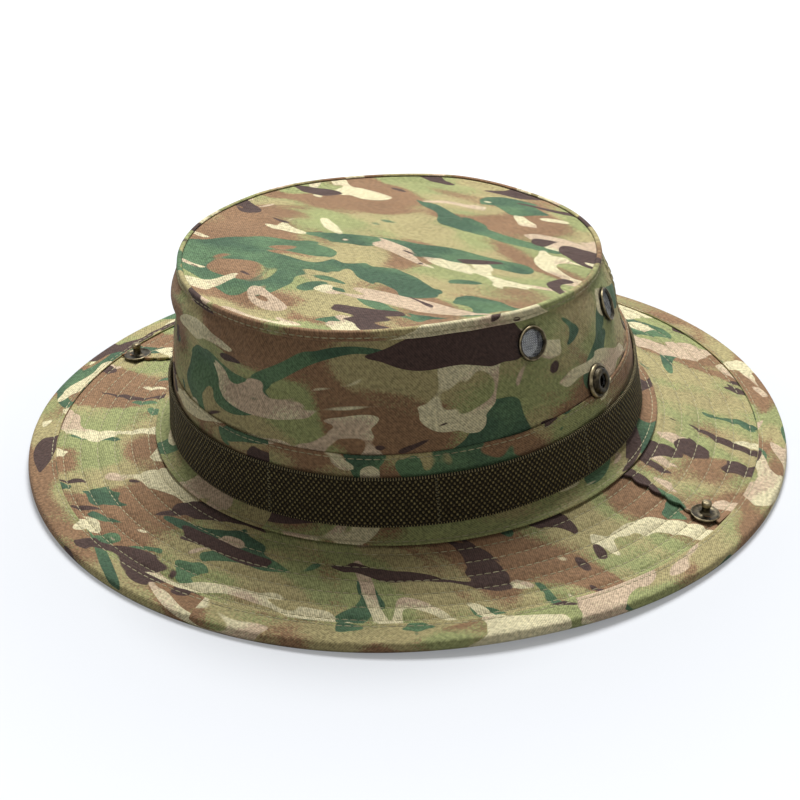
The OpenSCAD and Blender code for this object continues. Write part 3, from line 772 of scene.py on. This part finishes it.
side_tapes = bmesh.new()
for middle in (SIDE_SEAM, 180 - SIDE_SEAM):
    half = TAPE_W / 2 / ROOT_LEN * 180 / pi
    tape_heights = steps(SWEATBAND_H + 1, CROWN_H - TAPE_W, 2)
    section = [(w, TAPE_T) for w in tape_heights] + [(w, 0.0) for w in reversed(tape_heights)]
    strip = cloth(
        steps(middle - half, middle + half, 1), section,
        lambda a, w, h: wall_up(w, a, h - CLOTH_T - 2 * GAP - TAPE_T),
        lambda a, w, run, point: (w, radians(a) * 90))
    add_to(side_tapes, strip)
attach(piece("side_tapes", side_tapes, TAPE, ["side_seam_tapes"]), "hat")

# ================= the bands =================
FOOT_FLAT = FOOT_W - GAP - BAND_T - 1.2
FOOT_BEND = 2.0
BAND_RUN = FOOT_FLAT + FOOT_BEND + BAND_H - GAP - BAND_T - 1.2


def band_place(a, p, h):
    """p runs in over the brim from the foot's edge, round the bend and up the crown."""
    relief = 0.0
    off = GAP + h
    if h >= BAND_T:
        relief -= 0.18 * hump(p - 2.0, 0.5) + 0.18 * hump(p - BAND_RUN + 1.5, 0.5)
        relief += 0.12 * uneven(a, p, 8, 4)
    off += relief + 0.6 * hump(p, 1.6)
    slack = 0.9 * max(uneven(a, 0, 26, 8), -0.3) * ease((p - 22) / 12)
    if p <= FOOT_FLAT:
        return brim(FOOT_W - p, a, off)
    start = FOOT_W - FOOT_FLAT
    if p >= FOOT_FLAT + FOOT_BEND:
        return wall_up(p - FOOT_FLAT - FOOT_BEND + start, a, off + slack)
    low = brim(start, a, off)
    high = wall_up(start, a, off)
    foot = wall_up(off, a, off)
    corner = Vector((foot.x, foot.y, brim(off, a, off).z))
    k = (p - FOOT_FLAT) / FOOT_BEND
    return low * (1 - k) ** 2 + corner * 2 * k * (1 - k) + high * k ** 2


def half_angles(name, step):
    return steps(-90, 90, step) if name == "right" else steps(90, 270, step)


band_tops = sorted(
    steps(0.4, FOOT_FLAT, 1.0) + [1.6, 2.0, 2.4] + steps(FOOT_FLAT + 0.25, FOOT_FLAT + FOOT_BEND, 0.35)
    + steps(FOOT_FLAT + FOOT_BEND + 1, BAND_RUN - 3, 2.0)
    + [BAND_RUN - 2.4, BAND_RUN - 2.0, BAND_RUN - 1.5, BAND_RUN - 1.0, BAND_RUN - 0.4])
for name in SIDES:
    band = cloth(
        half_angles(name, FINE), folded(band_tops, BAND_T, band_tops[::2]), band_place,
        round_the_hat(94, 480, 130))
    nodes = ["base_band", "base_band_fold_" + name]
    bend_with(piece("band_" + name, band, PRINT, nodes))


def webbing_place(a, w, h):
    phase = ((a + 90) % (360 / TACK_COUNT)) / (360 / TACK_COUNT)
    slack = 1.0 * sin(pi * phase) ** 0.6 * (0.7 + 0.6 * uneven(a, 0, 40, 6))
    tilt = 0.25 * uneven(a, 0, 30, 12) * (w / WEBBING_W - 0.5)
    return wall_up(WEBBING_LIFT + w, a, WEBBING_OFF + h + slack * (0.25 + 0.75 * w / WEBBING_W) + tilt)


webbing_section = folded(steps(0.55, WEBBING_W - 0.55, 1.3), WEBBING_T, steps(0.55, WEBBING_W - 0.55, 6))
webbing = cloth(
    steps(90, 450, FINE), webbing_section, webbing_place, round_the_hat(95))
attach(piece("webbing_band", webbing, STRAP, ["foliage_webbing"]), "hat")

TACK_ZIGS = 16
tacks = bmesh.new()
for k in range(TACK_COUNT):
    middle = -90 + k * 360 / TACK_COUNT
    for zig in range(TACK_ZIGS):
        w = 1.4 + zig * (WEBBING_W - 2.8) / (TACK_ZIGS - 1)
        half = 0.65 / ROOT_LEN * 180 / pi
        slope = 0.5 if zig % 2 else -0.5

        def zigzag(x, across, up, middle=middle, half=half, w=w, slope=slope):
            rise = w + across + slope * (x - 0.5)
            return webbing_place(middle - half + 2 * half * x, rise, WEBBING_T + 0.02 + up)

        sew(tacks, zigzag, pitch=9, size=0.36, share=1.0)
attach(piece("tack_stitches", tacks, TACKING, ["webbing_bar_tacks"]), "hat")


def sweatband_place(a, w, h):
    return wall_up(w, a, h - CLOTH_T - GAP - SWEATBAND_T)


sweatband_top = SWEATBAND_H - 0.6
sweatband_section = folded(steps(-0.5, sweatband_top, 3), SWEATBAND_T, steps(-0.5, sweatband_top, 1.5))
sweatband = cloth(
    steps(90, 450, 1.5), sweatband_section, sweatband_place, round_the_hat(SIDE_R))
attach(piece("sweatband_cloth", sweatband, PLAIN, ["sweatband"]), "hat")

# ================= the brim =================
quilt_tops = sorted({
    round(row + off, 3)
    for row in QUILT_ROWS for off in (-3.5, -2.6, -1.7, -1.0, -0.5, 0, 0.5, 1.0, 1.7, 2.6)
} | {round(d, 3) for d in steps(-0.3, 7.4, 1.3)} | {BINDING_IN + 0.7, BINDING_IN + 3, BRIM_W - 1.3})
quilt_unders = steps(-0.3, BRIM_W - 1.3, 4)
ply_section = folded(quilt_tops, CLOTH_T, quilt_unders)
felt_section = folded(quilt_unders, FELT_T, quilt_unders)
lap_rows = [0.0, 0.25, 0.6, 1.2, 2.5, 4, 6, 8, 10, 12, LAP_BACK]
lap_lip = [(-0.25, 0.0), (-0.3, 1.0)]
lap_section = [(q, 1.0) for q in lap_rows] + [(q, 0.0) for q in (LAP_BACK, 7, 0)] + lap_lip

# Where each cut lies on the printed cloth.
PRINT_FRONT = (0, 0)
PRINT_BACK = (175, 300)
PRINT_LINING = (90, 130)


def brim_print(shift):
    return lambda a, w, run, point: (point.x + shift[0], point.y + shift[1])


def upper_place(a, w, h):
    if h >= CLOTH_T:
        return brim(w, a, -GAP + quilt(w, a))
    return brim(w, a, -GAP - CLOTH_T + h)


def felt_place(a, w, h):
    return brim(w, a, h - 2 * GAP - CLOTH_T - FELT_T)


def lining_place(a, w, h):
    """The lower ply hangs its quilted face down."""
    if h >= CLOTH_T:
        return brim(w, a, -PLIES - GAP - quilt(w, a))
    return brim(w, a, -PLIES - GAP + CLOTH_T - h)


REST = -4.0    # marks the part of the section that lies on the table


def binding_groove(d):
    return -0.22 * hump(d - BINDING_IN - 1.7, 0.5)


def binding_place(a, w, h):
    if h == REST:
        return brim(w, a, -brim_z(w, a))
    wrinkle = 0.22 * uneven(a, w, 6, 11) * hump(w - BINDING_IN - 2, 6)
    return brim(w, a, h + wrinkle)


def binding_section():
    top_rows = [BINDING_IN + d for d in (0.2, 0.7, 1.2, 1.7, 2.2, 2.8, 4, 6, 8, 9.6)]
    top = [(d, CLOTH_T + binding_groove(d)) for d in top_rows]
    edge = [
        (BRIM_W - 0.9, 0.55), (BRIM_W - 0.45, 0.15), (BRIM_W - 0.15, -0.45), (BRIM_W, -1.2),
        (BRIM_W - 0.1, -2.1)]
    rest = [(d, REST) for d in (BRIM_W - 0.7, BRIM_W - 2.2, BRIM_W - 3.7)]
    under = [(BINDING_IN + d, -PLIES - GAP - CLOTH_T) for d in (5.8, 4, 2, 0.2)]
    lip = [(BINDING_IN, -PLIES - GAP - 0.35), (BINDING_IN + 0.2, -PLIES - 1.3 * GAP)]
    lining = [(BRIM_W - 1.2, -PLIES - 1.3 * GAP), (BRIM_W - 0.8, -1.2), (BRIM_W - 1.2, -0.02)]
    return top + edge + rest + under + lip + lining + [(BINDING_IN + 0.2, 0.0), (BINDING_IN, 0.35)]


def lap_place(side):
    def place(d, q, h):
        """d runs out over the brim and q back from the scalloped edge."""
        a = snap_angle(side) + side * (q + scallop(d)) / along_brim(d) * 180 / pi
        if h > 0:
            return brim(d, a, quilt(d, a) - GAP + lap_rise(d, max(q, 0)) - (0.35 if q < 0 else 0))
        return brim(d, a, lap_rise(d, max(q, 0)) - 2 * GAP - 0.8)
    return place


for name, side in SIDES.items():
    nodes = ["brim_upper_front", "brim_upper_back", "brim_upper_" + name]
    seam = snap_angle(side)
    if side > 0:
        spans = {"front": (-90, seam), "back": (seam, 90)}
    else:
        spans = {"back": (90, seam), "front": (seam, 270)}
    for part, (first, last) in spans.items():
        shift = PRINT_FRONT if part == "front" else PRINT_BACK
        panel = cloth(steps(first, last, FINE), ply_section, upper_place, brim_print(shift))
        obj = piece("brim_cloth_" + part + "_" + name, panel, PRINT, nodes)
        bend_with(obj)
    felt = cloth(half_angles(name, COARSE), felt_section, felt_place, brim_print(PRINT_FRONT))
    nodes = ["brim_interlining_front", "brim_interlining_back", "brim_interlining_" + name]
    bend_with(piece("stiffener_" + name, felt, FELT, nodes))
    lining = cloth(half_angles(name, FINE), ply_section, lining_place, brim_print(PRINT_LINING))
    nodes = ["brim_lower_front", "brim_lower_back", "brim_lower_" + name]
    bend_with(piece("brim_lining_" + name, lining, PRINT, nodes))
    binding = cloth(
        half_angles(name, FINE), binding_section(), binding_place,
        lambda a, w, run, point: (radians(a) * 150, run + 250))
    nodes = ["brim_binding_front", "brim_binding_back", "brim_binding_" + name]
    bend_with(piece("edge_binding_" + name, binding, PRINT, nodes))
    lap = cloth(steps(LAP_FIRST, LAP_LAST, 0.6), lap_section, lap_place(side), brim_print(PRINT_BACK))
    bend_with(piece("side_lap_" + name, lap, PRINT, ["brim_side_seam_" + name]))

# ================= the stitching =================
for name in SIDES:
    angles = half_angles(name, 90)
    first, last = angles[0], angles[-1]
    over = bmesh.new()
    for row in QUILT_ROWS:
        sew(over, ring_line(lambda a, w, h: brim(w, a, quilt_top(w, a) + h), first, last, row, 0.09))
    sew(over, ring_line(binding_place, first, last, BINDING_IN + 1.7, CLOTH_T - 0.14))
    sew(over, ring_line(band_place, first, last, 2.0, BAND_T - 0.08))
    sew(over, ring_line(band_place, first, last, BAND_RUN - 1.5, BAND_T - 0.08))
    bend_with(piece("upper_thread_" + name, over, SEWING, []))
    under = bmesh.new()
    for row in QUILT_ROWS:
        sew(under, ring_line(
            lambda a, w, h: brim(w, a, -PLIES - GAP - quilt(w, a) - h), first, last, row, 0.09))
    sew(under, ring_line(binding_place, first, last, BINDING_IN + 1.7, -PLIES - GAP - CLOTH_T))
    bend_with(piece("under_thread_" + name, under, SEWING, []))

crown_thread = bmesh.new()
sew(crown_thread, ring_line(welt_place, 0, 360, -1.7, welt_height(-1.7) + 0.06))
sew(crown_thread, ring_line(sweatband_place, 0, 360, SWEATBAND_H - 2.0, 0.0))
for seam, way in ((SIDE_SEAM, 1), (180 - SIDE_SEAM, -1)):
    for off in (1.6, 6.4):
        a = seam + way * off / SIDE_R * 180 / pi

        def felled(x, across, up, a=a):
            return wall(0.47 + 0.49 * x, a + across / SIDE_R * 180 / pi, 0.3 + up)

        sew(crown_thread, felled)
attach(piece("crown_thread", crown_thread, SEWING, []), "hat")

# ================= the vents and snaps =================
# Round pieces are half sections of (radius, height) in millimetres.
VENT_RING = [
    (5.1, 0.2), (5.1, 0.45), (5.2, 0.55), (5.5, 0.6), (5.7, 0.72), (5.9, 0.92), (6.15, 1.05), (6.35, 0.98),
    (6.48, 0.8), (6.5, 0.5), (6.5, 0.15), (5.8, 0.15), (5.8, -0.85), (5.4, -0.85), (5.4, 0.15)]
SCREEN_R = 5.3
WIRE_PITCH = 0.66
WIRE_R = 0.15
WIRE_TURN = radians(38)    # the woven screen sits askew


def wires(bm, cross, at):
    """Parallel crimped wires that fill the screen's circle, along X or, for the cross ones, along Y."""
    count = int(2 * SCREEN_R / WIRE_PITCH)
    one = bmesh.new()
    bmesh.ops.create_grid(one, x_segments=30, y_segments=5, size=0.5)
    copies(one, count)
    for v in one.verts:
        k = round(v.co.x / APART)
        y = (k - (count - 1) / 2) * WIRE_PITCH
        x = sqrt(SCREEN_R ** 2 - y * y) * 2 * (v.co.x - APART * k)
        crimp = 0.15 * cos(pi * x / WIRE_PITCH + pi * k) * (-1 if cross else 1)
        round_it = 2 * pi * (v.co.y + 0.5)
        y += WIRE_R * cos(round_it)
        z = crimp + WIRE_R * sin(round_it) - 0.05
        spot = (y, x, z) if cross else (x, y, z)
        v.co = at @ (Vector(spot) * MM)
    bmesh.ops.remove_doubles(one, verts=one.verts, dist=1e-7)
    bmesh.ops.holes_fill(one, edges=one.edges, sides=0)
    bmesh.ops.recalc_face_normals(one, faces=one.faces)
    for f in one.faces:
        f.smooth = True
    add_to(bm, one)


def shine(bm, at, low, high):
    """The worn rim between two radii shows brighter metal."""
    inverse = at.inverted()
    for f in bm.faces:
        p = inverse @ f.calc_center_median()
        if low * MM < hypot(p.x, p.y) < high * MM and p.z > 0.0004:
            f.material_index = 1


for name, side in SIDES.items():
    for place_name, front in (("front", True), ("rear", False)):
        ending = name + "_" + place_name
        at = vent_frame(side, front)
        ring = turned(VENT_RING, at, 56)
        shine(ring, at, 5.95, 6.6)
        nodes = ["vent_ferrule_" + ending]
        obj = piece("vent_ring_" + ending, ring, BRASS, nodes, [BRIGHT])
        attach(obj, "hat")
        mesh_screen = bmesh.new()
        tilted = at @ Matrix.Rotation(WIRE_TURN, 4, "Z")
        wires(mesh_screen, False, tilted)
        wires(mesh_screen, True, tilted)
        obj = piece("vent_mesh_" + ending, mesh_screen, STEEL, ["vent_screen_" + ending])
        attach(obj, "hat")

STUD = [
    (0, 0), (STUD_R, 0), (STUD_R, 0.45), (5.62, 0.68), (5.4, 0.84), (5.1, 0.84), (4.85, 0.66), (4.5, 0.5),
    (3.4, 0.48), (2.6, 0.56), (2.1, 0.8), (1.75, 1.2), (1.6, 1.7), (1.6, 3.55), (1.9, 3.75), (1.95, 4.0),
    (1.95, 4.9), (1.8, 5.3), (1.4, 5.55), (0, STUD_H)]
STUD_HEAD = 3.6    # above this height the stud is worn bright
for name, side in SIDES.items():
    at = stud_frame(side)
    stud = turned(STUD, at)
    shine(stud, at, 5.45, 5.8)
    inverse = at.inverted()
    for f in stud.faces:
        if (inverse @ f.calc_center_median()).z > STUD_HEAD * MM:
            f.material_index = 1
    obj = piece("stud_" + name, stud, BRASS, ["snap_stud_" + name], [BRIGHT])
    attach(obj, "brim_side_" + name)

SOCKET_FOOT = 0.3 - STUD_SEAT
SOCKET = [
    (2.55, 0.0), (6.75, 0.0), (6.75, 0.7), (6.55, 1.2), (6.15, 1.55), (5.75, 1.6), (5.45, 1.4), (5.2, 1.45),
    (4.9, 2.5), (4.65, 2.95), (4.3, 3.2), (3.2, 3.2), (2.8, 3.05), (2.55, 2.7), (2.55, 2.15), (3.35, 2.15),
    (3.35, 1.05), (2.55, 1.05)]
for name in SIDES:
    at = socket_frame(name)
    socket = turned([(r, z + SOCKET_FOOT) for r, z in SOCKET], at)
    shine(socket, at, 5.6, 6.8)
    obj = piece("socket_" + name, socket, BRASS, ["snap_socket_" + name], [BRIGHT])
    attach(obj, "hat")

# The vents' washers and the snaps' springs and caps keep their solids, in metal.
for node_name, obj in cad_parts.items():
    if obj.hide_render:
        continue
    finish = SPRING if "spring" in node_name else BRASS
    obj.data.materials.clear()
    obj.data.materials.append(finish)

# ================= the cuts of cloth =================
def cut(name, width, length, held, rests_on, share=1.0, goes=()):
    """Does nothing: the sheet of cloth it names, with the size in millimetres that it was cut to and its
    share of that rectangle, is not used.
    """


cut("tip_cloth", 156, 175, "draped", ["side_cloth_front", "side_cloth_back"], 0.785, ["tip_welt", "tip_tape"])
cut("side_cloth_front", 69, 375, "draped", ["sweatband_cloth"], 0.98, ["crown_thread"])
cut("side_cloth_back", 66, 187, "draped", ["sweatband_cloth"], 1.0, ["side_tapes"])
cut("webbing_band", 20, 600, "stretched", ["band_right", "band_left"], 1.0, ["tack_stitches"])
cut("sweatband_cloth", 27.5, 578, "stretched", ["side_cloth_front", "side_cloth_back"])
for name in SIDES:
    plies = ["brim_lining_" + name, "stiffener_" + name]
    cut("band_" + name, 38, 300, "folded", ["side_cloth_front", "brim_cloth_front_" + name])
    cut("brim_cloth_front_" + name, 150, 153, "laid", plies, 0.474, ["upper_thread_" + name])
    cut("brim_cloth_back_" + name, 150, 153, "laid", plies, 0.474)
    cut("stiffener_" + name, 150, 305, "laid", plies[:1], 0.475)
    cut("brim_lining_" + name, 150, 305, "laid", ["edge_binding_" + name], 0.475, ["under_thread_" + name])
    cut("edge_binding_" + name, 27, 465, "folded", plies)
    cut("side_lap_" + name, 14, 40.2, "laid", ["brim_cloth_front_" + name])

# ================= floor, light and camera =================
floor_mesh = bmesh.new()
bmesh.ops.create_circle(floor_mesh, cap_ends=True, segments=96, radius=6)
floor_data = bpy.data.meshes.new("floor")
floor_mesh.to_mesh(floor_data)
floor_mesh.free()
floor = bpy.data.objects.new("floor", floor_data)
bpy.context.scene.collection.objects.link(floor)
floor_finish, floor_tree, floor_inputs = new_finish("pale_floor", 0.7, Specular_IOR_Level=0.2)
floor_inputs["Base Color"].default_value = (0.45, 0.455, 0.465, 1)
floor_inputs["Emission Color"].default_value = (0.93, 0.96, 1.0, 1)
seen = node(floor_tree, "LightPath", out="Is Camera Ray")
spot = node(floor_tree, "TexCoord", out="Object")
far = node(floor_tree, "VectorMath", {0: spot}, out="Value", operation="LENGTH")
# The floor glows less for the camera near the hat than further out: painted shade round the hat, and evenly
# white floor far off.
glow_dimmed_in_painted_shade = ramp(floor_tree, far, 0.16, 0.42, 0.26, 0.62)
floor_tree.links.new(calc(floor_tree, "MULTIPLY", seen, glow_dimmed_in_painted_shade), floor_inputs["Emission Strength"])
floor_data.materials.append(floor_finish)

world = bpy.data.worlds.new("studio")
bpy.context.scene.world = world
world.use_nodes = True
sky = world.node_tree
sky.nodes.clear()
plain_light = node(sky, "Background", {"Color": (1.0, 0.97, 0.93, 1), "Strength": 0.24})
white = node(sky, "Background", {"Color": (1, 1, 1, 1), "Strength": 1.0})
path = sky.nodes.new("ShaderNodeLightPath")
direct = calc(sky, "MAXIMUM", path.outputs["Is Camera Ray"], path.outputs["Is Glossy Ray"])
direct = calc(sky, "MAXIMUM", direct, path.outputs["Is Transmission Ray"])
both = node(sky, "MixShader", {0: direct, 1: plain_light, 2: white})
outlet = sky.nodes.new("ShaderNodeOutputWorld")
sky.links.new(both, outlet.inputs["Surface"])


def lamp(name, spot, aim, size, power, colour):
    data = bpy.data.lights.new(name, "AREA")
    data.shape = "DISK"
    data.size = size
    data.energy = power
    data.color = colour
    obj = bpy.data.objects.new(name, data)
    obj.location = spot
    obj.rotation_euler = (Vector(aim) - Vector(spot)).to_track_quat("-Z", "Y").to_euler()
    bpy.context.scene.collection.objects.link(obj)


lamp("overhead", (-0.35, 0.70, 1.5), (0, 0, 0.05), 0.9, 47, (0.95, 0.97, 1.0))

# The camera that was fitted to the photo, in degrees and millimetres.
AZIMUTH = radians(31.21)
ELEVATION = radians(28.68)
ROLL = radians(-0.906)
DISTANCE = 977.2
AIM = Vector((-2.6, -1.57, 18.4))
back = Vector((sin(AZIMUTH) * cos(ELEVATION), -cos(AZIMUTH) * cos(ELEVATION), sin(ELEVATION)))
right = (-back).cross(Vector((0, 0, 1))).normalized()
up = right.cross(-back)
across = right * cos(ROLL) + up * sin(ROLL)
upright = up * cos(ROLL) - right * sin(ROLL)
camera_data = bpy.data.cameras.new("camera")
camera_data.lens = 110.5
camera_data.sensor_width = 36
camera = bpy.data.objects.new("camera", camera_data)
axes = Matrix((across, upright, back)).transposed().to_4x4()
camera.matrix_world = Matrix.Translation((AIM + back * DISTANCE) * MM) @ axes
bpy.context.scene.collection.objects.link(camera)
bpy.context.scene.camera = camera
bpy.context.scene.view_settings.view_transform = "Standard"
